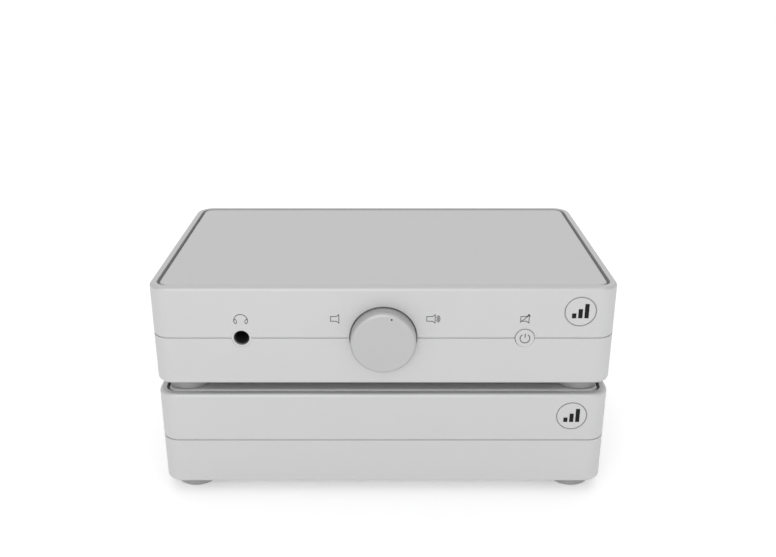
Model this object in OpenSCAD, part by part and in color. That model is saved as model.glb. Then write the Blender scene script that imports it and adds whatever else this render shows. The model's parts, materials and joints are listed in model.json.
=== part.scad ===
// Desktop headphone amplifier standing on its matching power supply.
// Origin: on the table, midway between the knob's face and the ends of the rear sockets.
// +X right, +Y to the rear, +Z up. Millimetres.

/* [Case] */
// Width of both cases
case_w = 220; // [200:1:260]
// Depth of both cases, front face to rear face
case_d = 120; // [118:1:200]
// Height of one case without its feet
case_h = 50; // [50:1:60]
// Radius of the four upright corners
corner_r = 9; // [8:0.5:14]
// Rounding along the bottom and top edges
edge_r = 1.5; // [1:0.1:2.5]
// Height of the seam between the half shells above the underside
seam_h = 24.5; // [24:0.5:27]
// Half height of the square groove along the seam
seam_groove = 0.35; // [0.2:0.05:0.6]
// Depth of that groove
seam_depth = 0.5; // [0.3:0.05:1]
// Thickness of the side walls
side_wall = 3.2; // [2.5:0.1:4]
// Thickness of the front and rear walls
end_wall = 5; // [4:0.1:6]
// Thickness of the case floor
floor_t = 3; // [2:0.1:4]

/* [Top plate] */
// Width of the rim that stands around the plate
rim_w = 3.3; // [2.5:0.1:4.5]
// Width of the groove between rim and plate
plate_gap = 1.2; // [0.8:0.05:2]
// Thickness of the plate
plate_t = 3; // [2:0.1:3.5]
// Rounding of the plate's top edge
plate_edge_r = 1.2; // [0.5:0.1:2]
// Width of the ledge under the plate's edge
ledge_w = 3.5; // [3:0.1:5]
// Thickness of the ledge
ledge_t = 2.5; // [2:0.1:3]

/* [Feet] */
// Height of a foot
foot_h = 6; // [5:0.5:8]
// Radius of a foot
foot_r = 11.2; // [9:0.1:12.5]
// Rounding of a foot's bottom edge
foot_edge_r = 1; // [0.5:0.1:2]
// Feet, distance from the middle to each side
foot_x = 96; // [90:0.5:97]
// Feet, distance from the middle to the front and the rear
foot_y = 44.2; // [40:0.1:46]

/* [Volume knob] */
// Radius of the knob
knob_r = 15.5; // [14:0.1:18]
// How far the knob stands out of the front
knob_proud = 6.5; // [6:0.5:15]
// Rounding of the knob's front edge
knob_edge_r = 1.8; // [0.5:0.1:3]
// Air between the knob and its pocket
knob_gap = 0.6; // [0.5:0.05:1.5]
// Depth of the pocket in the front
pocket_depth = 3; // [2:0.1:3.2]
// Where the knob's mark stands at rest, degrees clockwise from the top
mark_angle = 17; // [-130:1:130]

/* [Jack and button] */
// Distance of the headphone jack left of the middle
jack_x = 66.8; // [50:0.1:75]
// Radius of the hole that the 6.35 mm plug enters
jack_bore_r = 3.25; // [3.2:0.01:3.35]
// Distance of the power button right of the middle
button_x = 66.6; // [50:0.1:75]
// Radius of the button cap
button_r = 4.5; // [4:0.05:6]
// Travel of the button
button_travel = 1.5; // [1:0.1:2.5]

/* [Badge] */
// Radius of the round badge
badge_r = 7.5; // [6:0.1:9]
// Distance of the badge right of the middle
badge_x = 91.9; // [85:0.1:92]
// Height of the badge above the seam
badge_h = 13.6; // [12:0.1:15]

/* [Rear] */
// Width of the connector panel
panel_w = 185.6; // [170:0.1:190]
// Height of the connector panel
panel_h = 36.6; // [34:0.1:37]
// Thickness of the connector panel
panel_t = 2; // [1.5:0.1:2.5]
// How far the signal sockets stand out of the rear
socket_proud = 10; // [10:0.5:14]
// Distance of the low-voltage socket from the middle
dc_x = 62; // [50:1:70]

/* [Hidden] */
$fn = 64;
eps = 0.01;
// Clearance between a screw and its own threaded hole
thread_gap = 0.03;
// Clearance of a shaft that turns or slides in a bore
run_gap = 0.05;
// How much deeper a threaded hole is than its screw
thread_spare = 0.5;
// Air around a sunk screw head
head_air = 0.4;
half_w = case_w / 2;
half_d = case_d / 2;
// Where both cases stand: depth of their middle, height of each underside
middle_y = (knob_proud - socket_proud) / 2;
supply_z = foot_h;
amp_z = supply_z + case_h + foot_h;
pocket_r = knob_r + knob_gap;
wall_back = -half_d + end_wall;
pocket_back = -half_d + pocket_depth;
plate_inset = rim_w + plate_gap;
ledge_inner = plate_inset + ledge_w;
rim_corner_r = corner_r - rim_w;
plate_corner_r = rim_corner_r - plate_gap;
cavity_top = case_h - plate_t - ledge_t;
// Case screws stand in pillars that merge with the side walls
pillar_r = 5.5;
pillar_x = half_w - side_wall - pillar_r + 0.5;
pillar_y = 20;
m3_r = 1.5;
m3_pass_r = 1.7;
m3_head_r = 2.75;
m3_head_h = 1.7;
m3_key_r = 1.25;
m3_key_depth = 1.2;
m4_r = 2;
m4_pass_r = 2.15;
m4_head_r = 3.6;
m4_head_h = 2.4;
case_screw_sink = 3.4;
case_screw_grip = 9;
plate_opening_r = 3;
tab_r = 4.5;
tab_x = half_w - ledge_inner - 2.4;
tab_y = 35;
plate_screw_bite = 2;
foot_sink = 3;
foot_boss_r = 5;
foot_boss_h = 6;
foot_screw_up = 7;
panel_gap = 0.2;
panel_corner_r = 2.8;
window_w = 168;
window_h = 30;
panel_screw_x = 88.5;
panel_screw_z = 13;
panel_screw_len = 5;
panel_hole_gap = 0.1;
rear_in = half_d - panel_t;
badge_t = 1.5;
badge_air = 0.12;
// Body of the volume potentiometer, which stands on the board with its shaft at the seam
pot_w = 26;
pot_h = 24.4;
pot_depth = 22;
// Circuit boards on their pillars
board_t = 1.6;
board_z = seam_h - pot_h / 2 - board_t;
board_top = board_z + board_t;
standoff_r = 3;
amp_board = [184, 92];
amp_board_y = -3;
supply_board = [78, 92];
supply_board_x = 51.5;
supply_board_y = -4;
board_edge = 7;
board_screw_bite = 6;
// Volume potentiometer
shaft_r = 3;
bushing_r = 4.5;
bushing_len = 4.2;
nut_t = 1.6;
pot_nut_r = 7;
knob_back = pocket_back - 0.6;
knob_front = -half_d - knob_proud;
knob_hollow_r = 13;
knob_hollow = 2.3;
shaft_front = knob_front + 1.6;
shaft_back = wall_back + 7;
knob_screw_y = knob_front + 4.1;
knob_screw_len = 6;
knob_key_r = 0.8;
knob_key_depth = 2;
mark_r = 0.45;
mark_reach = 13.05;
mark_depth = 0.3;
// Headphone jack and power button
jack_w = 18;
jack_depth = 34;
jack_h = 22;
jack_end_t = 2;
bezel_r = 4.7;
bezel_bore_r = 3.75;
bezel_front = -half_d + 0.1;
bezel_back = -half_d + 1.2;
button_proud = 0.6;
button_gap = 0.2;
button_edge_r = 0.4;
flange_front = wall_back + 0.3;
flange_back = flange_front + 1;
flange_r = button_r + 1;
stem_r = 2;
stem_in = 4;
switch_w = 12;
switch_front = wall_back + 6.5;
switch_depth = 12;
switch_rise = 6;
spring_turns = 4;
spring_steps = 16;
spring_air = 0.1;
spring_r = 3.2;
spring_wire_r = 0.35;
spring_sides = 8;
// Mains side of the supply
toroid_x = -48;
toroid_y = -8;
toroid_r = 42;
toroid_hole_r = 17;
toroid_h = 32;
toroid_edge_r = 8;
toroid_boss_r = 7;
toroid_boss_h = 4;
bolt_r = 3;
bolt_foot = 1.5;
bolt_nut_r = 5.8;
bolt_nut_h = 4;
pad_t = 1;
pad_r = 28;
pad_hole_r = 9;
washer_r = 25;
washer_t = 1.5;
washer_top = floor_t + 2 * pad_t + toroid_h + washer_t;
inlet_x = -64;
inlet_body = [27, 19.6];
inlet_flange = [34, 26];
inlet_cavity = [24, 16];
inlet_proud = 2.5;
inlet_deep = 19.5;
inlet_cut = 4.5;
inlet_floor_y = half_d - 14.5;
blade = [2, 12.5, 4];
blade_tail = 8;
blade_spots = [[-7, -2], [7, -2], [0, 2]];
rocker_x = -22;
rocker_r = 8.2;
rocker_w = 9.8;
rocker_pin_r = 1.2;
rocker_y = half_d - 1.5;
rocker_tilt = 8;
rocker_flange = [14, 21.5];
rocker_flange_t = 2;
rocker_body = [12.6, 19.4];
rocker_deep = 18;
rocker_chamber = [10.4, 17.2];
rocker_chamber_deep = 11;
rocker_pin_cover = 0.3;
rocker_face = [[-4, -9], [6.2, -9], [4.2, 0], [6.2, 9], [-4, 9]];
// Power transistor: body, metal tab, leads
transistor_body = [10, 4.4, 9];
transistor_tab = [10, 1.3, 15.5];
transistor_lead = [0.8, 0.6, 4.2];
transistor_lift = 4;
lead_pitch = 2.5;
tab_back = (transistor_body[1] + transistor_tab[1]) / 2;
// Heat sink behind the two voltage regulators
regulator_y = 14;
sink_x = 50;
sink_w = 62;
sink_h = 28;
sink_front = regulator_y + tab_back + transistor_tab[1] / 2;
sink_t = 3;
fin_len = 10;
fin_t = 1.6;
fin_pitch = 5.9;
fin_count = 11;
// Round sockets on the rear
dc_r = 7.8;
dc_bore_r = 6.4;
dc_proud = 8;
dc_in = 10;
dc_nut_r = 10.5;
dc_nut_t = 2.5;
dc_insert_sink = 1;
dc_pin_r = 0.8;
dc_pin_ring = 3.6;
dc_pin_sink = 2;
dc_pin_tail = 4;
rca_r = 4.15;
rca_bore_r = 3.2;
rca_in = 9;
rca_nut_r = 6.2;
rca_nut_t = 2.2;
rca_insert_sink = 2.5;
rca_hole_r = 1.6;
rca_xs = [-72, -54, -22, -4];

// ---------- shapes that repeat ----------

// What a rounded edge or half a seam groove takes off a section, with the corner at the origin
module edge_cut(fillet, groove) {
    if (fillet > 0)
        difference() {
            translate([-fillet, -eps]) square([fillet + eps, fillet + eps]);
            translate([-fillet, fillet]) circle(r = fillet);
        }
    if (groove > 0)
        translate([-seam_depth, -eps]) square([seam_depth + eps, groove + eps]);
}

// Half section of a block: reach outwards, height upwards
module half_section(reach, h, low_fillet, low_groove, high_fillet, high_groove) {
    difference() {
        square([reach, h]);
        translate([reach, 0]) edge_cut(low_fillet, low_groove);
        translate([reach, h]) mirror([0, 1]) edge_cut(high_fillet, high_groove);
    }
}

module full_section(reach, h, low_fillet, low_groove, high_fillet, high_groove) {
    for (side = [0, 1])
        mirror([side, 0])
            half_section(reach, h, low_fillet, low_groove, high_fillet, high_groove);
}

// Block with round upright corners and shaped bottom and top edges, standing on z = 0
module soft_block(w, d, h, r, low_fillet = 0, low_groove = 0, high_fillet = 0, high_groove = 0) {
    for (x = [-1, 1])
        for (y = [-1, 1])
            translate([x * (w / 2 - r), y * (d / 2 - r), 0])
                rotate_extrude()
                    half_section(r, h, low_fillet, low_groove, high_fillet, high_groove);
    translate([0, d / 2 - r, 0])
        rotate([90, 0, 0])
            linear_extrude(d - 2 * r)
                full_section(w / 2, h, low_fillet, low_groove, high_fillet, high_groove);
    translate([-w / 2 + r, 0, 0])
        rotate([90, 0, 90])
            linear_extrude(w - 2 * r)
                full_section(d / 2, h, low_fillet, low_groove, high_fillet, high_groove);
}

// Plain block with round upright corners, standing on z = 0
module plain_block(w, d, h, r) {
    for (x = [-1, 1])
        for (y = [-1, 1])
            translate([x * (w / 2 - r), y * (d / 2 - r), 0]) cylinder(r = r, h = h);
    translate([-w / 2, -d / 2 + r, 0]) cube([w, d - 2 * r, h]);
    translate([-w / 2 + r, -d / 2, 0]) cube([w - 2 * r, d, h]);
}

module block(size, at) {
    translate([at[0] - size[0] / 2, at[1] - size[1] / 2, at[2]]) cube(size);
}

// Cylinder along Y between two depths, on an axis at the height of the seam
module rod_y(x, from_y, to_y, r, z = seam_h) {
    translate([x, to_y, z]) rotate([90, 0, 0]) cylinder(r = r, h = to_y - from_y);
}

module tube_y(x, from_y, to_y, r, bore_r, z = seam_h) {
    difference() {
        rod_y(x, from_y, to_y, r, z);
        rod_y(x, from_y - 1, to_y + 1, bore_r, z);
    }
}

module hex_y(x, from_y, to_y, r, z = seam_h) {
    translate([x, to_y, z]) rotate([90, 0, 0]) cylinder(r = r, h = to_y - from_y, $fn = 6);
}

// The power supply stands on the table, the amplifier on the power supply
module at_supply() {
    translate([0, middle_y, supply_z]) children();
}
module at_amp() {
    translate([0, middle_y, amp_z]) children();
}

module at_corners(x, y) {
    for (sx = [-1, 1])
        for (sy = [-1, 1])
            translate([sx * x, sy * y, 0]) children();
}

// ---------- case ----------

// Holes through the amplifier's front: knob pocket, bushing, jack and button
module amp_front_holes() {
    rod_y(0, -half_d - 1, pocket_back, pocket_r);
    rod_y(0, -half_d, wall_back + 1, bushing_r + run_gap);
    rod_y(-jack_x, -half_d - 1, wall_back + 1, bezel_r + run_gap);
    rod_y(button_x, -half_d - 1, wall_back + 1, button_r + button_gap);
}

// Window and rebate in the rear wall for the connector panel, and its four screw holes
module rear_window() {
    translate([0, half_d - panel_t, seam_h])
        rotate([-90, 0, 0])
            plain_block(panel_w + 2 * panel_gap, panel_h + 2 * panel_gap, panel_t + 1,
                panel_corner_r + panel_gap);
    block([window_w, 2 * end_wall + 2, window_h], [0, half_d - panel_t, seam_h - window_h / 2]);
    for (x = [-1, 1])
        for (z = [-1, 1])
            rod_y(x * panel_screw_x, half_d - end_wall - 1, half_d, m3_r + thread_gap,
                seam_h + z * panel_screw_z);
}

module badge_pocket() {
    rod_y(badge_x, -half_d - 1, -half_d + badge_t, badge_r + badge_air, seam_h + badge_h);
}

module lower_shell() {
    difference() {
        union() {
            difference() {
                soft_block(case_w, case_d, seam_h, corner_r,
                    low_fillet = edge_r, high_groove = seam_groove);
                translate([0, 0, floor_t])
                    plain_block(case_w - 2 * side_wall, case_d - 2 * end_wall, case_h,
                        corner_r - side_wall);
            }
            at_corners(pillar_x, pillar_y)
                translate([0, 0, floor_t - eps]) cylinder(r = pillar_r, h = seam_h - floor_t + eps);
            at_corners(foot_x, foot_y)
                translate([0, 0, floor_t - eps]) cylinder(r = foot_boss_r, h = foot_boss_h);
        }
        at_corners(pillar_x, pillar_y) {
            translate([0, 0, -1]) cylinder(r = m3_pass_r, h = case_h);
            translate([0, 0, -1]) cylinder(r = m3_head_r + head_air, h = case_screw_sink + 1);
        }
        at_corners(foot_x, foot_y)
            translate([0, 0, -1]) cylinder(r = m4_r + thread_gap, h = 1 + foot_screw_up + thread_spare);
        rear_window();
    }
}

module upper_shell() {
    difference() {
        union() {
            difference() {
                translate([0, 0, seam_h])
                    soft_block(case_w, case_d, case_h - seam_h, corner_r,
                        low_groove = seam_groove, high_fillet = edge_r);
                translate([0, 0, seam_h - 1])
                    plain_block(case_w - 2 * side_wall, case_d - 2 * end_wall,
                        cavity_top - seam_h + 1, corner_r - side_wall);
                translate([0, 0, seam_h])
                    plain_block(case_w - 2 * ledge_inner, case_d - 2 * ledge_inner, case_h,
                        plate_opening_r);
                translate([0, 0, case_h - plate_t])
                    plain_block(case_w - 2 * rim_w, case_d - 2 * rim_w, case_h, rim_corner_r);
            }
            at_corners(pillar_x, pillar_y)
                translate([0, 0, seam_h]) cylinder(r = pillar_r, h = cavity_top - seam_h + eps);
            at_corners(tab_x, tab_y)
                translate([0, 0, cavity_top]) cylinder(r = tab_r, h = ledge_t);
        }
        at_corners(pillar_x, pillar_y)
            translate([0, 0, seam_h - 1])
                cylinder(r = m3_r + thread_gap, h = 1 + case_screw_grip + thread_spare);
        at_corners(tab_x, tab_y)
            translate([0, 0, cavity_top - 1]) cylinder(r = m3_pass_r, h = ledge_t + 2);
        rear_window();
        badge_pocket();
    }
}

module top_plate() {
    difference() {
        translate([0, 0, case_h - plate_t])
            soft_block(case_w - 2 * plate_inset, case_d - 2 * plate_inset, plate_t,
                plate_corner_r, high_fillet = plate_edge_r);
        at_corners(tab_x, tab_y)
            translate([0, 0, case_h - plate_t - 1])
                cylinder(r = m3_r + thread_gap, h = 1 + plate_screw_bite + thread_spare);
    }
}

// Screws that pull the plate down onto the ledge, put in from inside the case
module plate_screws() {
    at_corners(tab_x, tab_y) {
        translate([0, 0, cavity_top]) cylinder(r = m3_r, h = ledge_t + plate_screw_bite);
        translate([0, 0, cavity_top - m3_head_h]) cylinder(r = m3_head_r, h = m3_head_h);
    }
}

module feet() {
    at_corners(foot_x, foot_y)
        translate([0, 0, -foot_h])
            difference() {
                rotate_extrude() half_section(foot_r, foot_h, foot_edge_r, 0, 0, 0);
                translate([0, 0, -1]) cylinder(r = m4_pass_r, h = foot_h + 2);
                translate([0, 0, -1]) cylinder(r = m4_head_r + head_air, h = foot_sink + 1);
            }
}

module foot_screws() {
    at_corners(foot_x, foot_y) {
        translate([0, 0, foot_sink - foot_h]) cylinder(r = m4_r, h = foot_h - foot_sink + foot_screw_up);
        translate([0, 0, foot_sink - foot_h - m4_head_h]) cylinder(r = m4_head_r, h = m4_head_h);
    }
}

module case_screws() {
    at_corners(pillar_x, pillar_y)
        difference() {
            union() {
                translate([0, 0, case_screw_sink])
                    cylinder(r = m3_r, h = seam_h - case_screw_sink + case_screw_grip);
                translate([0, 0, case_screw_sink - m3_head_r])
                    cylinder(r = m3_head_r, h = m3_head_r);
            }
            translate([0, 0, case_screw_sink - m3_head_r - 1])
                cylinder(r = m3_key_r, h = 1 + m3_key_depth, $fn = 6);
        }
}

module badge() {
    rod_y(badge_x, -half_d, -half_d + badge_t, badge_r, seam_h + badge_h);
}

// Connector panel with one round hole per [x, radius] and one square hole per [x, [w, h]]
module rear_panel(round_holes, square_holes) {
    difference() {
        translate([0, rear_in, seam_h])
            rotate([-90, 0, 0]) plain_block(panel_w, panel_h, panel_t, panel_corner_r);
        for (hole = round_holes)
            rod_y(hole[0], rear_in - 1, half_d + 1, hole[1]);
        for (hole = square_holes)
            block([hole[1][0], 3 * panel_t, hole[1][1]],
                [hole[0], half_d - panel_t / 2, seam_h - hole[1][1] / 2]);
        for (x = [-1, 1])
            for (z = [-1, 1])
                rod_y(x * panel_screw_x, rear_in - 1, half_d + 1, m3_pass_r,
                    seam_h + z * panel_screw_z);
    }
}

module panel_screws() {
    for (x = [-1, 1])
        for (z = [-1, 1])
            difference() {
                union() {
                    rod_y(x * panel_screw_x, half_d - panel_screw_len, half_d, m3_r,
                        seam_h + z * panel_screw_z);
                    rod_y(x * panel_screw_x, half_d, half_d + m3_head_h, m3_head_r,
                        seam_h + z * panel_screw_z);
                }
                hex_y(x * panel_screw_x, half_d + m3_head_h - m3_key_depth, half_d + m3_head_h + 1,
                    m3_key_r, seam_h + z * panel_screw_z);
            }
}

// ---------- circuit boards ----------

module at_board_corners(size, x, y) {
    translate([x, y, 0]) at_corners(size[0] / 2 - board_edge, size[1] / 2 - board_edge) children();
}

module board(size, x, y) {
    difference() {
        block([size[0], size[1], board_t], [x, y, board_z]);
        at_board_corners(size, x, y)
            translate([0, 0, board_z - 1]) cylinder(r = m3_r + 0.1, h = board_t + 2);
    }
}

module standoffs(size, x, y) {
    at_board_corners(size, x, y)
        difference() {
            translate([0, 0, floor_t]) cylinder(r = standoff_r, h = board_z - floor_t);
            translate([0, 0, board_z - board_screw_bite - thread_spare])
                cylinder(r = m3_r + thread_gap, h = board_screw_bite + thread_spare + 1);
        }
}

module board_screws(size, x, y) {
    at_board_corners(size, x, y) {
        translate([0, 0, board_z - board_screw_bite])
            cylinder(r = m3_r, h = board_screw_bite + board_t);
        translate([0, 0, board_top]) cylinder(r = m3_head_r, h = m3_head_h);
    }
}

// Capacitor can with the crimped groove round its foot
module capacitor(x, y, r, h) {
    crimp_r = 1.1;
    crimp_depth = 0.5;
    translate([x, y, board_top])
        difference() {
            cylinder(r = r, h = h);
            translate([0, 0, 2])
                rotate_extrude() translate([r + crimp_r - crimp_depth, 0]) circle(r = crimp_r);
        }
}

// Power transistor standing on its leads, its metal tab towards +Y
module power_transistor(x, y) {
    block(transistor_body, [x, y, board_top + transistor_lift]);
    block(transistor_tab, [x, y + tab_back - eps, board_top + transistor_lift]);
    for (lead = [-1 : 1])
        block(transistor_lead, [x + lead * lead_pitch, y, board_top]);
}

// ---------- power supply pieces ----------

module supply_lower_shell() {
    color("silver") at_supply()
        difference() {
            union() {
                lower_shell();
                translate([toroid_x, toroid_y, floor_t - eps])
                    cylinder(r = toroid_boss_r, h = toroid_boss_h);
            }
            translate([toroid_x, toroid_y, bolt_foot - thread_spare])
                cylinder(r = bolt_r + thread_gap, h = floor_t + toroid_boss_h);
        }
}
module supply_upper_shell() { color("silver") at_supply() upper_shell(); }
module supply_top_plate() { color("gainsboro") at_supply() top_plate(); }
module supply_plate_screws() { color("dimgray") at_supply() plate_screws(); }
module supply_feet() { color("gray") at_supply() feet(); }
module supply_foot_screws() { color("dimgray") at_supply() foot_screws(); }
module supply_case_screws() { color("dimgray") at_supply() case_screws(); }
module supply_badge() { color("gainsboro") at_supply() badge(); }

module supply_rear_panel() {
    color("#303236") at_supply()
        rear_panel([[dc_x, dc_r + panel_hole_gap]],
            [[inlet_x, inlet_body + [panel_gap, panel_gap]],
                [rocker_x, rocker_body + [panel_gap, panel_gap]]]);
}
module supply_panel_screws() { color("dimgray") at_supply() panel_screws(); }

module mains_transformer() {
    edge = toroid_edge_r;
    wide = toroid_r - toroid_hole_r;
    color("#8a3b22") at_supply() translate([toroid_x, toroid_y, floor_t + pad_t])
        rotate_extrude()
            translate([toroid_hole_r, 0]) {
                translate([edge, 0]) square([wide - 2 * edge, toroid_h]);
                translate([0, edge]) square([wide, toroid_h - 2 * edge]);
                for (x = [edge, wide - edge])
                    for (y = [edge, toroid_h - edge])
                        translate([x, y]) circle(r = edge);
            }
}

module transformer_pads() {
    color("#222222") at_supply() translate([toroid_x, toroid_y, floor_t])
        for (z = [0, pad_t + toroid_h])
            translate([0, 0, z])
                difference() {
                    cylinder(r = pad_r, h = pad_t);
                    translate([0, 0, -1]) cylinder(r = pad_hole_r, h = pad_t + 2);
                }
}

module transformer_washer() {
    color("lightgray") at_supply() translate([toroid_x, toroid_y, washer_top - washer_t])
        difference() {
            cylinder(r = washer_r, h = washer_t);
            translate([0, 0, -1]) cylinder(r = bolt_r + run_gap, h = washer_t + 2);
        }
}

module transformer_bolt() {
    color("lightgray") at_supply() translate([toroid_x, toroid_y, 0]) {
        translate([0, 0, bolt_foot]) cylinder(r = bolt_r, h = washer_top - bolt_foot);
        translate([0, 0, washer_top]) cylinder(r = bolt_nut_r, h = bolt_nut_h, $fn = 6);
    }
}

module supply_board() {
    color("#14532d") at_supply() board(supply_board, supply_board_x, supply_board_y);
}
module supply_standoffs() {
    color("gold") at_supply()
        standoffs(supply_board, supply_board_x, supply_board_y);
}
module supply_board_screws() {
    color("dimgray") at_supply()
        board_screws(supply_board, supply_board_x, supply_board_y);
}
module reservoir_capacitors() {
    can_r = 11;
    can_h = 30;
    color("#1d2430") at_supply()
        for (x = [36, 62])
            for (y = [-33, -9.5])
                capacitor(x, y, can_r, can_h);
}
module bridge_rectifier() {
    lift = 3;
    pitch = 5;
    color("#222222") at_supply() translate([48, 6.5, board_top]) {
        block([19, 5, 15], [0, 0, lift]);
        for (lead = [-1.5 : 1.5])
            block([1, 1, lift + 0.2], [lead * pitch, 0, 0]);
    }
}
module voltage_regulators() {
    color("#222222") at_supply()
        for (x = [34, 66])
            power_transistor(x, regulator_y);
}
module heat_sink() {
    color("#3a3d42") at_supply() translate([0, 0, board_top]) {
        block([sink_w, sink_t, sink_h], [sink_x, sink_front + sink_t / 2, 0]);
        for (fin = [0 : fin_count - 1])
            block([fin_t, fin_len + eps, sink_h],
                [sink_x + (fin - (fin_count - 1) / 2) * fin_pitch,
                    sink_front + sink_t + fin_len / 2, 0]);
    }
}
module mains_fuse() {
    fuse_up = 4;
    fuse_len = 20;
    glass_r = 2.2;
    cap_r = 2.8;
    cap_len = 5;
    cap_at = 8.2;
    clip_t = 1.4;
    color("silver") at_supply() translate([16, -25, board_top + fuse_up])
        rotate([90, 0, 0]) {
            cylinder(r = glass_r, h = fuse_len, center = true);
            for (z = [-cap_at, cap_at]) {
                translate([0, 0, z]) cylinder(r = cap_r, h = cap_len, center = true);
                block([2 * cap_r, fuse_up, clip_t], [0, -fuse_up / 2, z - clip_t / 2]);
            }
        }
}

module mains_inlet() {
    color("#222222") at_supply() translate([inlet_x, 0, seam_h])
        difference() {
            union() {
                block([inlet_flange[0], inlet_proud, inlet_flange[1]],
                    [0, half_d + inlet_proud / 2, -inlet_flange[1] / 2]);
                block([inlet_body[0], inlet_deep, inlet_body[1]],
                    [0, half_d + eps - inlet_deep / 2, -inlet_body[1] / 2]);
            }
            translate([0, half_d + inlet_proud + 1, 0])
                rotate([90, 0, 0])
                    linear_extrude(half_d + inlet_proud + 1 - inlet_floor_y) inlet_outline();
            inlet_blade_set();
        }
}
// Mouth of the inlet: a rectangle with its two upper corners cut off
module inlet_outline() {
    w = inlet_cavity[0] / 2;
    h = inlet_cavity[1] / 2;
    polygon([[-w, -h], [w, -h], [w, h - inlet_cut], [w - inlet_cut, h], [inlet_cut - w, h],
        [-w, h - inlet_cut]]);
}
module inlet_blade_set() {
    for (at = blade_spots)
        block([blade[0], blade[1] + blade_tail, blade[2]],
            [at[0], inlet_floor_y + (blade[1] - blade_tail) / 2, at[1] - blade[2] / 2]);
}
module inlet_blades() {
    color("lightgray") at_supply() translate([inlet_x, 0, seam_h]) inlet_blade_set();
}

module rocker_frame() {
    chamber_len = rocker_chamber_deep + rocker_flange_t + 1;
    pin_len = rocker_body[0] - 2 * rocker_pin_cover;
    color("#222222") at_supply() translate([rocker_x, half_d, seam_h])
        difference() {
            union() {
                block([rocker_flange[0], rocker_flange_t, rocker_flange[1]],
                    [0, rocker_flange_t / 2, -rocker_flange[1] / 2]);
                block([rocker_body[0], rocker_deep, rocker_body[1]],
                    [0, eps - rocker_deep / 2, -rocker_body[1] / 2]);
            }
            block([rocker_chamber[0], chamber_len, rocker_chamber[1]],
                [0, chamber_len / 2 - rocker_chamber_deep, -rocker_chamber[1] / 2]);
            translate([-pin_len / 2, rocker_y - half_d, 0])
                rotate([0, 90, 0]) cylinder(r = rocker_pin_r + run_gap, h = pin_len);
        }
}

// Rocker: round about its pin, with a shallow V for its face
module mains_rocker() {
    pin_len = rocker_body[0] - 2 * rocker_pin_cover - 0.4;
    color("#1a1a1a") at_supply() translate([rocker_x, rocker_y, seam_h])
        rotate([rocker_tilt, 0, 0]) {
            rotate([90, 0, 90])
                translate([0, 0, -rocker_w / 2])
                    linear_extrude(rocker_w)
                        intersection() {
                            circle(r = rocker_r);
                            polygon(rocker_face);
                        }
            translate([-pin_len / 2, 0, 0])
                rotate([0, 90, 0]) cylinder(r = rocker_pin_r, h = pin_len);
        }
}

// Round low-voltage socket: metal shell, and the insert that holds its pins
module dc_socket() {
    difference() {
        union() {
            rod_y(dc_x, half_d - dc_in, half_d + dc_proud, dc_r);
            hex_y(dc_x, half_d, half_d + dc_nut_t, dc_nut_r);
        }
        rod_y(dc_x, half_d - dc_in - 1, half_d + dc_proud + 1, dc_bore_r);
    }
}
module dc_pins(r) {
    for (turn = [0 : 90 : 270])
        rod_y(dc_x + dc_pin_ring * cos(turn), half_d - dc_in - dc_pin_tail,
            half_d + dc_proud - dc_pin_sink, r, seam_h + dc_pin_ring * sin(turn));
}
module dc_insert() {
    difference() {
        rod_y(dc_x, half_d - dc_in, half_d - dc_insert_sink, dc_bore_r);
        dc_pins(dc_pin_r + thread_gap);
    }
    dc_pins(dc_pin_r);
}
module dc_output_socket() { color("lightgray") at_supply() dc_socket(); }
module dc_output_insert() { color("#222222") at_supply() dc_insert(); }

// ---------- amplifier pieces ----------

module amp_lower_shell() {
    color("silver") at_amp()
        difference() {
            lower_shell();
            amp_front_holes();
        }
}
module amp_upper_shell() {
    color("silver") at_amp()
        difference() {
            upper_shell();
            amp_front_holes();
        }
}
module amp_top_plate() { color("gainsboro") at_amp() top_plate(); }
module amp_plate_screws() { color("dimgray") at_amp() plate_screws(); }
module amp_feet() { color("gray") at_amp() feet(); }
module amp_foot_screws() { color("dimgray") at_amp() foot_screws(); }
module amp_case_screws() { color("dimgray") at_amp() case_screws(); }
module amp_badge() { color("gainsboro") at_amp() badge(); }

module amp_rear_panel() {
    color("#303236") at_amp()
        rear_panel(concat([[dc_x, dc_r + panel_hole_gap]],
            [for (x = rca_xs) [x, rca_r + panel_hole_gap]]), []);
}
module amp_panel_screws() { color("dimgray") at_amp() panel_screws(); }

module amp_board() { color("#14532d") at_amp() board(amp_board, 0, amp_board_y); }
module amp_standoffs() {
    color("gold") at_amp() standoffs(amp_board, 0, amp_board_y);
}
module amp_board_screws() {
    color("dimgray") at_amp() board_screws(amp_board, 0, amp_board_y);
}

module volume_pot() {
    color("steelblue") at_amp()
        difference() {
            union() {
                block([pot_w, pot_depth, pot_h],
                    [0, wall_back + pot_depth / 2, seam_h - pot_h / 2]);
                rod_y(0, wall_back - bushing_len, wall_back + 1, bushing_r);
            }
            rod_y(0, wall_back - bushing_len - 1, shaft_back + thread_spare, shaft_r + run_gap);
        }
}
module pot_nut() {
    color("gold") at_amp()
        difference() {
            hex_y(0, pocket_back - nut_t, pocket_back, pot_nut_r);
            rod_y(0, pocket_back - nut_t - 1, pocket_back + 1, bushing_r + thread_gap);
        }
}
module pot_shaft() {
    color("lightgray") at_amp() rod_y(0, shaft_front, shaft_back, shaft_r);
}

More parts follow.
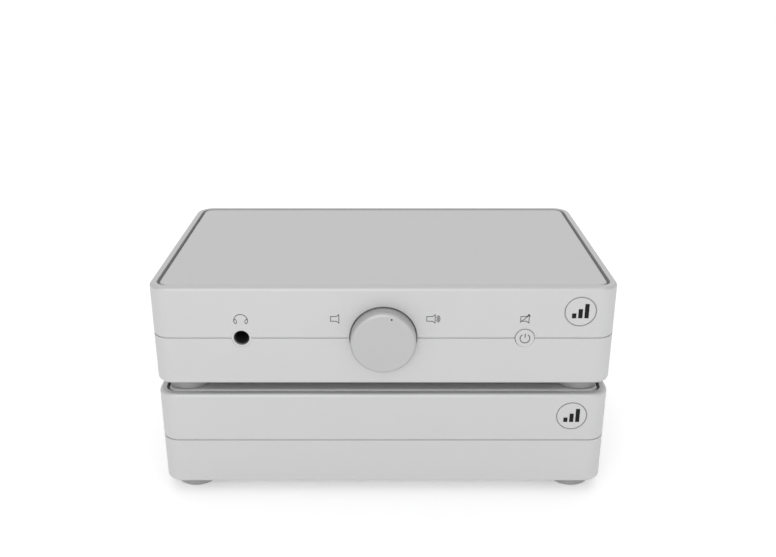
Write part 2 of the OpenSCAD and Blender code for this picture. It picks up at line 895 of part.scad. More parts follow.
module volume_knob() {
    knob_len = knob_back - knob_front;
    color("gainsboro") at_amp() translate([0, knob_back, seam_h])
        difference() {
            rotate([90, 0, 0])
                difference() {
                    rotate_extrude()
                        half_section(knob_r, knob_len, 0, 0, knob_edge_r, 0);
                    translate([0, 0, -1]) cylinder(r = knob_hollow_r, h = knob_hollow + 1);
                    translate([0, 0, -1])
                        cylinder(r = shaft_r + thread_gap,
                            h = 1 + knob_back - shaft_front + thread_spare);
                }
            translate([0, knob_screw_y - knob_back, -knob_r - 1])
                cylinder(r = m3_r + thread_gap, h = knob_r + 1);
            rotate([90, mark_angle - 90, 0])
                translate([mark_reach, 0, knob_len - mark_depth]) cylinder(r = mark_r, h = 1);
        }
}
module knob_screw() {
    color("dimgray") at_amp() translate([0, knob_screw_y, seam_h - shaft_r - knob_screw_len])
        difference() {
            cylinder(r = m3_r, h = knob_screw_len);
            translate([0, 0, -1]) cylinder(r = knob_key_r, h = 1 + knob_key_depth, $fn = 6);
        }
}

module headphone_jack() {
    color("#222222") at_amp()
        difference() {
            union() {
                block([jack_w, jack_depth, jack_h],
                    [-jack_x, wall_back + jack_depth / 2, board_top]);
                rod_y(-jack_x, bezel_back, wall_back + 1, bezel_r);
            }
            rod_y(-jack_x, bezel_back - 1, wall_back + jack_depth - jack_end_t, jack_bore_r);
        }
}
module jack_bezel() {
    color("#d6d6d6") at_amp() tube_y(-jack_x, bezel_front, bezel_back, bezel_r, bezel_bore_r);
}

module power_button() {
    cap_len = flange_back + half_d + button_proud;
    stem_len = switch_front + stem_in - flange_back;
    color("gainsboro") at_amp() translate([button_x, flange_back, seam_h])
        rotate([90, 0, 0]) {
            rotate_extrude() half_section(button_r, cap_len, 0, 0, button_edge_r, 0);
            cylinder(r = flange_r, h = flange_back - flange_front);
            translate([0, 0, -stem_len]) cylinder(r = stem_r, h = stem_len + eps);
        }
}

// Points of one ring of the spring wire, at a turn of the coil
function spring_ring(turn, advance) =
    [for (side = [0 : spring_sides - 1])
        let (a = 360 * side / spring_sides, reach = spring_r + spring_wire_r * cos(a))
        [reach * cos(turn), advance + spring_wire_r * sin(a), reach * sin(turn)]];

module button_spring() {
    rings = spring_steps * spring_turns;
    start = flange_back + spring_wire_r + spring_air;
    length = switch_front - start - spring_wire_r - spring_air;
    points = [for (i = [0 : rings])
        each spring_ring(360 * spring_turns * i / rings, length * i / rings)];
    walls = [for (i = [0 : rings - 1])
        for (side = [0 : spring_sides - 1])
            let (next = (side + 1) % spring_sides)
            [i * spring_sides + side, i * spring_sides + next,
                (i + 1) * spring_sides + next, (i + 1) * spring_sides + side]];
    start_cap = [for (side = [spring_sides - 1 : -1 : 0]) side];
    end_cap = [for (side = [0 : spring_sides - 1]) rings * spring_sides + side];
    color("lightgray") at_amp() translate([button_x, start, seam_h])
        polyhedron(points, concat([start_cap], walls, [end_cap]));
}

module power_switch() {
    color("#222222") at_amp()
        difference() {
            block([switch_w, switch_depth, seam_h + switch_rise - board_top],
                [button_x, switch_front + switch_depth / 2, board_top]);
            rod_y(button_x, switch_front - 1, switch_front + stem_in + 2 * button_travel,
                stem_r + run_gap);
        }
}

module phono_sockets() {
    color("gold") at_amp()
        for (x = rca_xs)
            difference() {
                union() {
                    rod_y(x, half_d - rca_in, half_d + socket_proud, rca_r);
                    hex_y(x, half_d, half_d + rca_nut_t, rca_nut_r);
                }
                rod_y(x, half_d - rca_in - 1, half_d + socket_proud + 1, rca_bore_r);
            }
}
module phono_inserts() {
    color("white") at_amp()
        for (x = rca_xs)
            difference() {
                rod_y(x, half_d - rca_in, half_d + socket_proud - rca_insert_sink, rca_bore_r);
                rod_y(x, half_d, half_d + socket_proud, rca_hole_r);
            }
}
module dc_input_socket() { color("lightgray") at_amp() dc_socket(); }
module dc_input_insert() { color("#222222") at_amp() dc_insert(); }

module amp_capacitors() {
    can_r = 6.25;
    can_h = 20;
    color("#1d2430") at_amp()
        for (x = [-60, -40, 40, 60])
            for (y = [8, 26])
                capacitor(x, y, can_r, can_h);
}
module output_transistors() {
    color("#222222") at_amp()
        for (x = [-54, -36, 36, 54])
            power_transistor(x, -10);
}
module amp_chips() {
    color("#222222") at_amp()
        for (x = [-20, 20])
            for (y = [-26, -10, 6])
                block([6.4, 9.6, 3.4], [x, y, board_top]);
}
module mute_relays() {
    color("#e8e8e0") at_amp()
        for (x = [-12, 8])
            block([15, 20, 10], [x, 28, board_top]);
}

supply_lower_shell();
supply_upper_shell();
supply_top_plate();
supply_plate_screws();
supply_feet();
supply_foot_screws();
supply_case_screws();
supply_badge();
supply_rear_panel();
supply_panel_screws();
mains_transformer();
transformer_pads();
transformer_washer();
transformer_bolt();
supply_board();
supply_standoffs();
supply_board_screws();
reservoir_capacitors();
bridge_rectifier();
voltage_regulators();
heat_sink();
mains_fuse();
mains_inlet();
inlet_blades();
rocker_frame();
mains_rocker();
dc_output_socket();
dc_output_insert();
amp_lower_shell();
amp_upper_shell();
amp_top_plate();
amp_plate_screws();
amp_feet();
amp_foot_screws();
amp_case_screws();
amp_badge();
amp_rear_panel();
amp_panel_screws();
amp_board();
amp_standoffs();
amp_board_screws();
volume_pot();
pot_nut();
pot_shaft();
volume_knob();
knob_screw();
headphone_jack();
jack_bezel();
power_button();
button_spring();
power_switch();
phono_sockets();
phono_inserts();
dc_input_socket();
dc_input_insert();
amp_capacitors();
output_transistors();
amp_chips();
mute_relays();
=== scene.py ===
"""Looks of a desktop headphone amplifier that stands on its matching power supply."""

import json
import math

import bmesh
import bpy
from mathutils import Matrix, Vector


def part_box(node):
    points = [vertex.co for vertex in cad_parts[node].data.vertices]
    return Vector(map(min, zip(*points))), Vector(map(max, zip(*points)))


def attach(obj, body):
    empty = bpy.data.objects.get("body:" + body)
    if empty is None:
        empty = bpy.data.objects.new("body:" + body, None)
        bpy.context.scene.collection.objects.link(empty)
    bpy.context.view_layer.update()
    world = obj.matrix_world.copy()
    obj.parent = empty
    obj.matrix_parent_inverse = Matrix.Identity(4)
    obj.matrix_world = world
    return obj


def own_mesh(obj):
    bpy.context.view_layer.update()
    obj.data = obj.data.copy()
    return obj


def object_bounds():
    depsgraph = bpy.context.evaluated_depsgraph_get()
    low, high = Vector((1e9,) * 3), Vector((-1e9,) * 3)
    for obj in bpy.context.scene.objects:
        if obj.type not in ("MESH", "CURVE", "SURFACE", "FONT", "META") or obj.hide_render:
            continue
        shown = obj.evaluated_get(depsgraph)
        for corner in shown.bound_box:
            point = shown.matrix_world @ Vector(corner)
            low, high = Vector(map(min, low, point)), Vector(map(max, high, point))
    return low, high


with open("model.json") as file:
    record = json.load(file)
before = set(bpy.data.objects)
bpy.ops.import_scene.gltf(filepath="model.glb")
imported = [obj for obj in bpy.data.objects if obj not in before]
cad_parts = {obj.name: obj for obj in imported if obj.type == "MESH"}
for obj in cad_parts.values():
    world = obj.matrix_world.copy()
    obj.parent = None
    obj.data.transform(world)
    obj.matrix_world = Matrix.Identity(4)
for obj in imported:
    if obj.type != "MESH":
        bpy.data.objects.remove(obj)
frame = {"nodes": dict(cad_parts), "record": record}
cad_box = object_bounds()

MM = 0.001
scene = bpy.context.scene

# ---------- places, all taken from the frame ----------

LOW, HIGH = cad_box
FRONT_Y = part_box("amp_lower_shell")[0].y
REAR_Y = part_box("amp_rear_panel")[1].y
TOP_Z = HIGH.z
SEAM_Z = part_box("amp_lower_shell")[1].z


def middle(node):
    """Middle of a CAD node's box."""
    low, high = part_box(node)
    return (low + high) / 2


# ---------- material building blocks ----------

def node_of(tree, kind, **settings):
    """A new shader node with its input sockets set by name."""
    made = tree.nodes.new(kind)
    for name, value in settings.items():
        made.inputs[name.replace("_", " ")].default_value = value
    return made


def place_on(tree, stretch=(1, 1, 1)):
    """Object coordinates in metres, stretched along each axis."""
    coords = tree.nodes.new("ShaderNodeTexCoord")
    mapping = node_of(tree, "ShaderNodeMapping", Scale=stretch)
    tree.links.new(coords.outputs["Object"], mapping.inputs["Vector"])
    return mapping.outputs["Vector"]


def noise(tree, vector, scale, detail=3.0, roughness=0.55):
    """Even noise; the scale is in cells to the metre."""
    texture = node_of(tree, "ShaderNodeTexNoise", Scale=scale, Detail=detail, Roughness=roughness)
    tree.links.new(vector, texture.inputs["Vector"])
    return texture.outputs["Fac"]


def spread(tree, value, low, high):
    """Maps 0.25-0.75, where noise mostly lies, to the range low-high."""
    mapped = node_of(tree, "ShaderNodeMapRange", From_Min=0.25, From_Max=0.75, To_Min=low, To_Max=high)
    tree.links.new(value, mapped.inputs["Value"])
    return mapped.outputs["Result"]


def blend_colours(tree, value, first, second):
    """The first colour where the value is 0, the second where it is 1."""
    mix = tree.nodes.new("ShaderNodeMix")
    mix.data_type = "RGBA"
    mix.inputs["A"].default_value = (*first, 1)
    mix.inputs["B"].default_value = (*second, 1)
    tree.links.new(value, mix.inputs["Factor"])
    return mix.outputs["Result"]


def raise_grain(tree, shader, height, depth):
    """Bump of a real depth in metres."""
    bump = node_of(tree, "ShaderNodeBump", Strength=1.0, Distance=depth)
    tree.links.new(height, bump.inputs["Height"])
    tree.links.new(bump.outputs["Normal"], shader.inputs["Normal"])


def shade(colour, factor):
    """The colour made darker or lighter by a factor."""
    return tuple(min(1.0, channel * factor) for channel in colour)


GLOSS_SPREAD = 0.04


def finish_material(
    name, colour, metallic, roughness, grain, depth,
    mottle=0.03, patch=60.0, stretch=(1, 1, 1), coat=0.0, specular=0.5, pattern=None,
):
    """One procedural finish: fine grain in the bump and the gloss, slow patches in the colour."""
    made = bpy.data.materials.new(name)
    made.use_nodes = True
    made.diffuse_color = (*colour, 1)
    tree = made.node_tree
    shader = tree.nodes["Principled BSDF"]
    shader.inputs["Metallic"].default_value = metallic
    shader.inputs["Coat Weight"].default_value = coat
    shader.inputs["Specular IOR Level"].default_value = specular
    vector = place_on(tree, stretch)
    fine = noise(tree, vector, grain)
    slow = noise(tree, vector, patch, detail=5.0)
    tone = spread(tree, slow, 0.0, 1.0)
    tint = blend_colours(tree, tone, shade(colour, 1 - mottle), shade(colour, 1 + mottle))
    height = fine
    if pattern:
        tint, height = pattern(tree, vector, tint, height)
    tree.links.new(tint, shader.inputs["Base Color"])
    gloss = spread(tree, fine, roughness - GLOSS_SPREAD, roughness + GLOSS_SPREAD)
    tree.links.new(gloss, shader.inputs["Roughness"])
    raise_grain(tree, shader, height, depth)
    return made


# ---------- patterns of single finishes ----------

def bands(tree, vector, scale, direction="Z", kind="BANDS", distortion=0.0):
    """Straight bands across one axis, or rings about it."""
    wave = node_of(tree, "ShaderNodeTexWave", Scale=scale, Distortion=distortion, Detail=2.0)
    wave.wave_type = kind
    if kind == "BANDS":
        wave.bands_direction = direction
    else:
        wave.rings_direction = direction
    tree.links.new(vector, wave.inputs["Vector"])
    return wave.outputs["Fac"]


def multiply(tree, first, second):
    """Product of two sockets."""
    product = tree.nodes.new("ShaderNodeMath")
    product.operation = "MULTIPLY"
    tree.links.new(first, product.inputs[0])
    tree.links.new(second, product.inputs[1])
    return product.outputs["Value"]


def step(tree, value, edge):
    """1 where the value is above the edge."""
    above = tree.nodes.new("ShaderNodeMath")
    above.operation = "GREATER_THAN"
    tree.links.new(value, above.inputs[0])
    above.inputs[1].default_value = edge
    return above.outputs["Value"]


def over(tree, factor, under, colour):
    """Lays one plain colour over another socket where the factor is 1."""
    mix = tree.nodes.new("ShaderNodeMix")
    mix.data_type = "RGBA"
    tree.links.new(factor, mix.inputs["Factor"])
    tree.links.new(under, mix.inputs["A"])
    mix.inputs["B"].default_value = (*colour, 1)
    return mix.outputs["Result"]


def copper_tracks(tree, vector, tint, height):
    """Solder mask with raised tracks and their paler edges."""
    cells = node_of(tree, "ShaderNodeTexVoronoi", Scale=260.0, Randomness=0.35)
    cells.distance = "CHEBYCHEV"
    tree.links.new(vector, cells.inputs["Vector"])
    track = step(tree, cells.outputs["Distance"], 0.42)
    return over(tree, track, tint, (0.035, 0.24, 0.10)), track


def wound_tape(tree, vector, tint, height):
    """Overlapping turns of amber tape with the dark wire showing between them."""
    lap = bands(tree, vector, 34.0, direction="DIAGONAL", distortion=0.6)
    dark = step(tree, lap, 0.86)
    return over(tree, dark, tint, (0.16, 0.05, 0.02)), lap


def turned_rings(tree, vector, tint, height):
    """Very fine rings left by turning, about the knob's axis."""
    centred = node_of(tree, "ShaderNodeMapping", Location=(0, 0, -SEAM_Z))
    tree.links.new(vector, centred.inputs["Vector"])
    rings = bands(tree, centred.outputs["Vector"], 420.0, direction="Y", kind="RINGS")
    return tint, multiply(tree, rings, height)


# ---------- finishes, one for each material slot and each print ----------
# Grain and patch are noise scales to the metre, and depth is the height of the bump in metres.

BRUSHED_X = (1, 14, 14)
BRUSHED_Y = (14, 1, 14)
BRUSHED_Z = (14, 14, 1)

FINISHES = {
    "case_aluminium": dict(colour=(0.54, 0.54, 0.543), metallic=0.4, roughness=0.50, grain=2600.0,
                           depth=0.000012, mottle=0.008, patch=35.0),
    "plate_aluminium": dict(colour=(0.56, 0.56, 0.563), metallic=0.4, roughness=0.52, grain=2600.0,
                            depth=0.000012, mottle=0.008, patch=30.0),
    "knob_aluminium": dict(colour=(0.46, 0.46, 0.463), metallic=0.5, roughness=0.45, grain=3200.0,
                           depth=0.000008, mottle=0.006, patch=80.0, pattern=turned_rings),
    "badge_aluminium": dict(colour=(0.54, 0.54, 0.543), metallic=0.4, roughness=0.46, grain=3200.0,
                            depth=0.000008, mottle=0.01, patch=150.0),
    "foot_rubber": dict(colour=(0.28, 0.28, 0.285), metallic=0.0, roughness=0.62, grain=1400.0,
                        depth=0.00003, mottle=0.05, patch=120.0),
    "black_rubber": dict(colour=(0.03, 0.03, 0.03), metallic=0.0, roughness=0.75, grain=1100.0,
                         depth=0.00004, mottle=0.12, patch=90.0),
    "black_steel": dict(colour=(0.045, 0.045, 0.05), metallic=0.6, roughness=0.42, grain=2200.0,
                        depth=0.00001, mottle=0.15, patch=500.0),
    "zinc_steel": dict(colour=(0.62, 0.63, 0.65), metallic=1.0, roughness=0.30, grain=900.0,
                       depth=0.000008, mottle=0.05, patch=300.0, stretch=BRUSHED_X),
    "spring_steel": dict(colour=(0.55, 0.55, 0.57), metallic=1.0, roughness=0.25, grain=1500.0,
                         depth=0.000004, mottle=0.05, patch=600.0, stretch=BRUSHED_Y),
    "nickel": dict(colour=(0.66, 0.65, 0.63), metallic=1.0, roughness=0.20, grain=1300.0,
                   depth=0.000003, mottle=0.03, patch=200.0),
    "brass_parts": dict(colour=(0.78, 0.60, 0.25), metallic=1.0, roughness=0.28, grain=1200.0,
                        depth=0.000005, mottle=0.06, patch=260.0),
    "gold_plate": dict(colour=(0.86, 0.66, 0.27), metallic=1.0, roughness=0.18, grain=1500.0,
                       depth=0.000003, mottle=0.03, patch=240.0),
    "dark_panel": dict(colour=(0.035, 0.036, 0.04), metallic=0.1, roughness=0.55, grain=1700.0,
                       depth=0.00005, mottle=0.12, patch=400.0),
    "winding_tape": dict(colour=(0.42, 0.16, 0.05), metallic=0.0, roughness=0.38, grain=600.0,
                         depth=0.0002, mottle=0.12, patch=50.0, coat=0.5, pattern=wound_tape),
    "circuit_board": dict(colour=(0.02, 0.16, 0.07), metallic=0.0, roughness=0.40, grain=900.0,
                          depth=0.00003, mottle=0.08, patch=70.0, coat=0.4, pattern=copper_tracks),
    "capacitor_sleeve": dict(colour=(0.02, 0.03, 0.06), metallic=0.0, roughness=0.30, grain=700.0,
                             depth=0.00001, mottle=0.10, patch=120.0, coat=0.3),
    "component_black": dict(colour=(0.03, 0.03, 0.032), metallic=0.0, roughness=0.55, grain=1800.0,
                            depth=0.00002, mottle=0.12, patch=300.0),
    "component_blue": dict(colour=(0.05, 0.13, 0.30), metallic=0.0, roughness=0.45, grain=1500.0,
                           depth=0.00001, mottle=0.08, patch=200.0),
    "black_aluminium": dict(colour=(0.04, 0.04, 0.045), metallic=0.8, roughness=0.45, grain=1200.0,
                            depth=0.00001, mottle=0.10, patch=200.0, stretch=BRUSHED_Z),
    "black_plastic": dict(colour=(0.022, 0.022, 0.024), metallic=0.0, roughness=0.48, grain=1500.0,
                          depth=0.00002, mottle=0.10, patch=260.0),
    "white_plastic": dict(colour=(0.80, 0.80, 0.77), metallic=0.0, roughness=0.42, grain=1300.0,
                          depth=0.00001, mottle=0.02, patch=240.0),
    # Black for the badges' print, and also for the painted shade in the knob's drilled dot.
    "print_and_painted_shade_black": dict(colour=(0.008, 0.008, 0.009), metallic=0.0, roughness=0.6, grain=2400.0,
                        depth=0.000005, mottle=0.15, patch=900.0, specular=0.15),
    "print_grey": dict(colour=(0.07, 0.07, 0.073), metallic=0.0, roughness=0.6, grain=2400.0,
                       depth=0.000005, mottle=0.15, patch=900.0, specular=0.3),
    "print_white": dict(colour=(0.72, 0.72, 0.70), metallic=0.0, roughness=0.55, grain=2400.0,
                        depth=0.000005, mottle=0.05, patch=900.0),
    "red_plastic": dict(colour=(0.52, 0.02, 0.02), metallic=0.0, roughness=0.40, grain=1300.0,
                        depth=0.00001, mottle=0.06, patch=240.0),
}

MATERIALS = {name: finish_material(name, **facts) for name, facts in FINISHES.items()}


def paint_frame():
    """Every CAD node takes the finish of its slot in the record."""
    for entry in frame["record"]["subparts"]:
        mesh = frame["nodes"][entry["node"]].data
        mesh.materials.clear()
        mesh.materials.append(MATERIALS[entry["material_slot"]])


# ---------- printed signs, and the painted shade in the knob's dot, as thin raised shapes; distances in millimetres, angles in degrees ---

PRINT_HEIGHT = 0.05
SIGN_LINE = 0.34
POWER_LINE = 0.42
RING_LINE = 0.25
FORWARD = (0, -1, 0)
BACKWARD = (0, 1, 0)

# Places on the amplifier's front, from the middle of its seam.
SIGN_Z = 9.9
HEADPHONES_X = -66.7
QUIET_X = -22.7
LOUD_X = 23.4
MUTE_X = 66.2

# The knob's dot, clockwise from the top and out from the knob's axis.
DOT_ANGLE = 17
DOT_REACH = 13.05
DOT_R = 0.44
DOT_DEPTH = 0.05

BADGE_RING_R = 7.2
BAR_HALF_WIDTH = 1.0
BAR_PITCH = 2.9
BAR_FOOT = -3.4
BAR_TOPS = (-0.9, 1.3, 3.9)


def arc(centre, radius, start, end, steps=24):
    """Points from one angle to another, anticlockwise from +X."""
    turns = [math.radians(start + (end - start) * i / steps) for i in range(steps + 1)]
    return [(centre[0] + radius * math.cos(a), centre[1] + radius * math.sin(a)) for a in turns]


def oval(centre, wide, high, tilt=0.0, steps=24):
    """Closed outline of a tilted ellipse."""
    cos_t, sin_t = math.cos(math.radians(tilt)), math.sin(math.radians(tilt))
    points = []
    for i in range(steps):
        a = 2 * math.pi * i / steps
        x, y = wide * math.cos(a), high * math.sin(a)
        points.append((centre[0] + x * cos_t - y * sin_t, centre[1] + x * sin_t + y * cos_t))
    return points


def line_sides(points, width, closed):
    """Left and right sides of a line of even width along the points."""
    count = len(points)
    left, right = [], []
    for i in range(count):
        here = Vector(points[i])
        before = Vector(points[i - 1]) if (i or closed) else None
        after = Vector(points[(i + 1) % count]) if (i < count - 1 or closed) else None
        into = (here - before).normalized() if before else (after - here).normalized()
        out = (after - here).normalized() if after else into
        along = (into + out).normalized()
        across = Vector((-along.y, along.x))
        reach = width / 2 / max(0.4, across.dot(Vector((-out.y, out.x))))
        left.append(here + across * reach)
        right.append(here - across * reach)
    return left, right


class Print:
    """Collects lines and filled shapes on one upright face, then makes one thin piece of them."""

    def __init__(self, name, place, normal, body, material="print_grey", slot="component_black"):
        self.name = name
        self.place = Vector(place)
        self.normal = Vector(normal)
        self.across = Vector((-self.normal.y, self.normal.x, 0))
        self.body = body
        self.material = material
        self.slot = slot
        self.high = PRINT_HEIGHT * MM
        self.mesh = bmesh.new()

    def point(self, spot, lift):
        """Place in space of a spot of the print, lifted off the face."""
        flat = self.across * (spot[0] * MM) + Vector((0, 0, 1)) * (spot[1] * MM)
        return self.place + flat + self.normal * lift

    def prism(self, outline):
        """Raised polygon from a list of corners, sunk slightly into the face."""
        low = [self.mesh.verts.new(self.point(spot, -self.high)) for spot in outline]
        top = [self.mesh.verts.new(self.point(spot, self.high)) for spot in outline]
        self.mesh.faces.new(top)
        self.mesh.faces.new(low[::-1])
        count = len(outline)
        for i in range(count):
            j = (i + 1) % count
            self.mesh.faces.new((low[i], low[j], top[j], top[i]))
        return self

    def line(self, points, width, closed=False):
        """Line of even width, made of one closed strip."""
        left, right = line_sides(points, width, closed)
        rows = []
        for spot_l, spot_r in zip(left, right):
            rows.append([
                self.mesh.verts.new(self.point(spot, lift))
                for spot in (spot_l, spot_r)
                for lift in (-self.high, self.high)
            ])
        count = len(rows)
        for i in range(count if closed else count - 1):
            low_l, top_l, low_r, top_r = rows[i]
            next_low_l, next_top_l, next_low_r, next_top_r = rows[(i + 1) % count]
            self.mesh.faces.new((top_l, top_r, next_top_r, next_top_l))
            self.mesh.faces.new((low_l, next_low_l, next_low_r, low_r))
            self.mesh.faces.new((low_l, top_l, next_top_l, next_low_l))
            self.mesh.faces.new((low_r, next_low_r, next_top_r, top_r))
        if not closed:
            first, last = rows[0], rows[-1]
            self.mesh.faces.new((first[0], first[2], first[3], first[1]))
            self.mesh.faces.new((last[0], last[1], last[3], last[2]))
        return self

    def make(self):
        """One piece of everything drawn so far, riding the print's body."""
        bmesh.ops.recalc_face_normals(self.mesh, faces=self.mesh.faces)
        data = bpy.data.meshes.new(self.name)
        self.mesh.to_mesh(data)
        self.mesh.free()
        data.materials.append(MATERIALS[self.material])
        piece = bpy.data.objects.new(self.name, data)
        scene.collection.objects.link(piece)
        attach(piece, self.body)
        return piece


def front_sign(name, x):
    """A print on the amplifier's front, with its middle at the height of the signs."""
    return Print(name, (x * MM, FRONT_Y, SEAM_Z + SIGN_Z * MM), FORWARD, "amplifier")


def headphones_sign():
    """A headband with an ear cushion inside each of its ends."""
    sign = front_sign("sign_headphones", HEADPHONES_X)
    sign.line(arc((0, -0.95), 3.2, -4, 184), SIGN_LINE)
    for side in (-1, 1):
        sign.line(oval((side * 2.6, -1.35), 0.62, 1.15, tilt=side * -10), SIGN_LINE, closed=True)
    sign.make()


def speaker(sign, x):
    """Outline of a loudspeaker about x, its box to the left and its mouth to the right."""
    lower = [(x - 2.0, -1.2), (x + 0.7, -1.2), (x + 1.9, -2.15)]
    sign.line(lower + [(x, -z) for x, z in reversed(lower)], SIGN_LINE, closed=True)


def quiet_sign():
    """A loudspeaker with nothing in front of it."""
    sign = front_sign("sign_quiet", QUIET_X)
    speaker(sign, 0)
    sign.make()


def loud_sign():
    """A loudspeaker with sound waves in front of its mouth."""
    sign = front_sign("sign_loud", LOUD_X)
    speaker(sign, -1.1)
    for reach in (1.1, 1.7, 2.3):
        sign.line(arc((0.75, 0), reach, -55, 55, steps=12), SIGN_LINE)
    sign.make()


def mute_sign():
    """A loudspeaker crossed out from its lower left."""
    sign = front_sign("sign_mute", MUTE_X)
    speaker(sign, 0)
    sign.line([(-2.3, -1.9), (2.2, 2.1)], SIGN_LINE)
    sign.line([(1.3, 2.3), (2.5, 1.2)], SIGN_LINE)
    sign.make()


def power_sign():
    """An open ring and a stroke, on the button's face."""
    place = middle("power_button")
    place.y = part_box("power_button")[0].y
    place.z = SEAM_Z
    sign = Print("sign_power", place, FORWARD, "button")
    sign.line(arc((0, 0), 2.3, 124, 416), POWER_LINE)
    sign.line([(0, 0.35), (0, 2.5)], POWER_LINE)
    sign.make()


def painted_shade_knob_dot():
    """Painted shade: a black disc over the drilled dot on the knob's face, in place of the shade inside
    the small hole.
    """
    turn = math.radians(90 - DOT_ANGLE)
    spot = (DOT_REACH * math.cos(turn), DOT_REACH * math.sin(turn))
    place = (0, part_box("volume_knob")[0].y + DOT_DEPTH * MM, SEAM_Z)
    # The black disc is painted shade for the hollow of the drilled dot.
    sign = Print("painted_shade_knob_dot", place, FORWARD, "knob", material="print_and_painted_shade_black")
    sign.prism(oval(spot, DOT_R, DOT_R))
    sign.make()


def badge_mark(name, node, body):
    """Thin ring near the badge's edge, and in it three level bars, a generic sign for loudness."""
    place = middle(node)
    place.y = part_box(node)[0].y
    ring = Print(f"{name}_ring", place, FORWARD, body)
    ring.line(oval((0, 0), BADGE_RING_R, BADGE_RING_R, steps=72), RING_LINE, closed=True)
    ring.make()
    bars = Print(f"{name}_bars", place, FORWARD, body, material="print_and_painted_shade_black")
    for i, top in enumerate(BAR_TOPS):
        left = BAR_PITCH * (i - 1) - BAR_HALF_WIDTH
        right = BAR_PITCH * (i - 1) + BAR_HALF_WIDTH
        bars.prism([(left, BAR_FOOT), (right, BAR_FOOT), (right, top), (left, top)])
    bars.make()


# ---------- connectors at the rear; distances in millimetres from the panel's middle ----------

PHONO_PAIRS = ((-72, -54), (-22, -4))
PHONO_NUT = 2.2
PHONO_R = 4.15
COLLAR_LENGTH = 1.6
COLLAR_WALL = 0.6
COLLAR_STEPS = 48
DC_X = 62
INLET_X = -64
ROCKER_X = -22

REAR_LINE = 0.35
DASH_LINE = 0.4
SWITCH_LINE = 0.5
DC_SIGN_Z = 13.6
ARROW_Z = 13.4
BRACKET_Z = (8.6, 10.6)
FRAME_HALF_HEIGHT = 15.6


def rear_sign(name, node, body):
    """White print on a connector panel; a spot at +x in it lies at -X on the object."""
    place = middle(node)
    place.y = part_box(node)[1].y
    return Print(name, place, BACKWARD, body, material="print_white", slot="white_plastic")


def direct_current(sign, x, z):
    """A line over three dashes."""
    sign.line([(x - 2.6, z + 0.6), (x + 2.6, z + 0.6)], DASH_LINE)
    for dash in (-2.0, 0, 2.0):
        sign.line([(x + dash - 0.6, z - 0.6), (x + dash + 0.6, z - 0.6)], DASH_LINE)


def arrow(sign, x, z, up):
    """Solid triangle on a short stem, pointing up or down."""
    way = 1 if up else -1
    sign.prism([(x - 0.2, z - 1.6 * way), (x + 0.2, z - 1.6 * way), (x + 0.2, z), (x - 0.2, z)])
    sign.prism([(x - 1.1, z), (x + 1.1, z), (x, z + 1.6 * way)])


def amplifier_rear_signs():
    """A bracket over each phono pair, its arrow for in or out, and the low-voltage input's sign."""
    sign = rear_sign("rear_signs_amplifier", "amp_rear_panel", "amplifier")
    foot, top = BRACKET_Z
    for pair, outwards in zip(PHONO_PAIRS, (False, True)):
        right, left = -pair[0], -pair[1]
        sign.line([(left, foot), (left, top), (right, top), (right, foot)], REAR_LINE)
        arrow(sign, (left + right) / 2, ARROW_Z, up=outwards)
    direct_current(sign, -DC_X, DC_SIGN_Z)
    sign.make()


def supply_rear_signs():
    """A frame round the mains side, on and off marks beside the rocker, the output's sign."""
    sign = rear_sign("rear_signs_supply", "supply_rear_panel", "power_supply")
    left = -ROCKER_X - 15
    right = -INLET_X + 21
    half = FRAME_HALF_HEIGHT
    sign.line([(left, -half), (right, -half), (right, half), (left, half)], REAR_LINE, closed=True)
    mark = -ROCKER_X - 10.5
    sign.line([(mark, 4.4), (mark, 7.6)], SWITCH_LINE)
    sign.line(oval((mark, -6), 1.5, 1.5), SWITCH_LINE, closed=True)
    direct_current(sign, -DC_X, DC_SIGN_Z)
    sign.make()


def collar(name, x, start, length, inner, outer, material):
    """Ring about a rear socket's axis; it starts at a distance behind the panel's face."""
    mesh = bmesh.new()
    profile = [(inner, start), (outer, start), (outer, start + length), (inner, start + length)]
    rings = []
    for i in range(COLLAR_STEPS):
        turn = 2 * math.pi * i / COLLAR_STEPS
        rings.append([
            mesh.verts.new((
                (x + reach * math.cos(turn)) * MM,
                REAR_Y + depth * MM,
                SEAM_Z + reach * math.sin(turn) * MM))
            for reach, depth in profile
        ])
    for i in range(COLLAR_STEPS):
        here, there = rings[i], rings[(i + 1) % COLLAR_STEPS]
        for k in range(len(profile)):
            after = (k + 1) % len(profile)
            mesh.faces.new((here[k], here[after], there[after], there[k]))
    bmesh.ops.recalc_face_normals(mesh, faces=mesh.faces)
    data = bpy.data.meshes.new(name)
    mesh.to_mesh(data)
    mesh.free()
    data.materials.append(MATERIALS[material])
    piece = bpy.data.objects.new(name, data)
    scene.collection.objects.link(piece)
    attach(piece, "amplifier")


def phono_collars():
    """A white collar on each left channel, a red one on each right channel."""
    outer = PHONO_R + COLLAR_WALL
    for i, pair in enumerate(PHONO_PAIRS):
        for x, side, material in zip(pair, ("right", "left"), ("red_plastic", "white_plastic")):
            name = f"phono_collar_{side}_{i + 1}"
            collar(name, x, PHONO_NUT, COLLAR_LENGTH, PHONO_R, outer, material)


# ---------- the button's spring ----------


def shorten_spring():
    """Gives the button's coil spring its own copy of its mesh; the spring keeps its length from the
    model and is not pressed in.
    """
    spring = frame["nodes"]["button_spring"]
    switch_end = middle("button_spring")
    switch_end.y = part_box("button_spring")[1].y
    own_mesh(spring)


paint_frame()
shorten_spring()
headphones_sign()
quiet_sign()
loud_sign()
mute_sign()
power_sign()
painted_shade_knob_dot()
amplifier_rear_signs()
supply_rear_signs()
phono_collars()
badge_mark("badge_mark_amplifier", "amp_badge", "amplifier")
badge_mark("badge_mark_supply", "supply_badge", "power_supply")


# ---------- camera, light and floor ----------

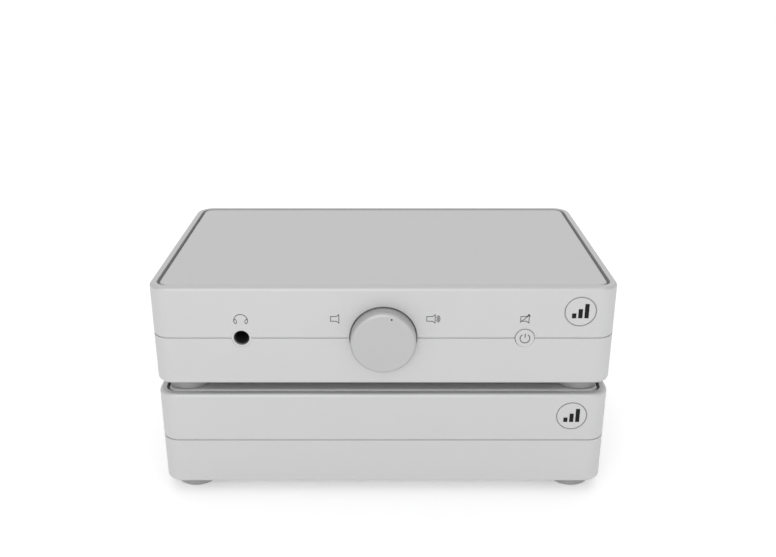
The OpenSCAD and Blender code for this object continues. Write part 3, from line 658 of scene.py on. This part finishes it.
CAMERA_LENS = 37.4
CAMERA_SHIFT = (0.006, -0.075)
CAMERA_DISTANCE = 0.341
CAMERA_RISE = 0.1505
CAMERA_DIP = 19
FLOOR_HALF = 6.0
FLOOR_GLOW = 0.2
LIGHT_PLACE = (-0.25, -1.5, 0.85)
LIGHT_TARGET = (0, 0, 0.06)
LIGHT_SIZE = 1.3
LIGHT_POWER = 7.0
SIDE_WALL = (0.35, 0.35, 0.35)


def make_camera():
    """View from the front and above; the upright shift keeps the case's sides nearly parallel."""
    data = bpy.data.cameras.new("camera")
    data.lens = CAMERA_LENS
    data.sensor_width = 36.0
    data.shift_x, data.shift_y = CAMERA_SHIFT
    camera = bpy.data.objects.new("camera", data)
    camera.location = (0, FRONT_Y - CAMERA_DISTANCE, TOP_Z + CAMERA_RISE)
    camera.rotation_euler = (math.radians(90 - CAMERA_DIP), 0, 0)
    scene.collection.objects.link(camera)
    scene.camera = camera


def make_floor():
    """Wide white paper, which glows a little so that it blends into the white background."""
    mesh = bmesh.new()
    bmesh.ops.create_grid(mesh, x_segments=1, y_segments=1, size=FLOOR_HALF)
    data = bpy.data.meshes.new("floor")
    mesh.to_mesh(data)
    mesh.free()
    floor = bpy.data.objects.new("floor", data)
    floor.location.z = LOW.z
    paper = finish_material(
        "studio_floor", (0.96, 0.96, 0.96), 0.0, 0.9, 40.0, 0.00001, mottle=0.004, patch=2.0)
    shader = paper.node_tree.nodes["Principled BSDF"]
    shader.inputs["Emission Color"].default_value = (1, 1, 1, 1)
    shader.inputs["Emission Strength"].default_value = FLOOR_GLOW
    data.materials.append(paper)
    scene.collection.objects.link(floor)


def area_light(name, place, target, size, power):
    """Round soft light that faces its target."""
    data = bpy.data.lights.new(name, "AREA")
    data.shape = "DISK"
    data.size = size
    data.energy = power
    lamp = bpy.data.objects.new(name, data)
    lamp.location = place
    lamp.rotation_euler = (Vector(target) - Vector(place)).to_track_quat("-Z", "Y").to_euler()
    scene.collection.objects.link(lamp)


def rising(tree, value, low, high):
    """0 below low, 1 above high, smooth between."""
    mapped = node_of(tree, "ShaderNodeMapRange", From_Min=low, From_Max=high)
    mapped.interpolation_type = "SMOOTHSTEP"
    tree.links.new(value, mapped.inputs["Value"])
    return mapped.outputs["Result"]


def make_world():
    """A white room with greyer side walls, which shade the rounded ends of the cases."""
    world = bpy.data.worlds.new("studio")
    world.use_nodes = True
    tree = world.node_tree
    coords = tree.nodes.new("ShaderNodeTexCoord")
    split = tree.nodes.new("ShaderNodeSeparateXYZ")
    tree.links.new(coords.outputs["Generated"], split.inputs["Vector"])
    sideways = tree.nodes.new("ShaderNodeMath")
    sideways.operation = "ABSOLUTE"
    tree.links.new(split.outputs["X"], sideways.inputs[0])
    wall = multiply(
        tree,
        rising(tree, sideways.outputs["Value"], 0.4, 0.85),
        rising(tree, split.outputs["Z"], 0.08, 0.35))
    background = tree.nodes["Background"]
    tree.links.new(blend_colours(tree, wall, (1, 1, 1), SIDE_WALL), background.inputs["Color"])
    background.inputs["Strength"].default_value = 1.0
    scene.world = world


def make_light():
    """White surroundings and one large soft light from the front."""
    make_world()
    area_light("front_softbox", LIGHT_PLACE, LIGHT_TARGET, LIGHT_SIZE, LIGHT_POWER)
    scene.view_settings.view_transform = "Standard"


make_camera()
make_floor()
make_light()
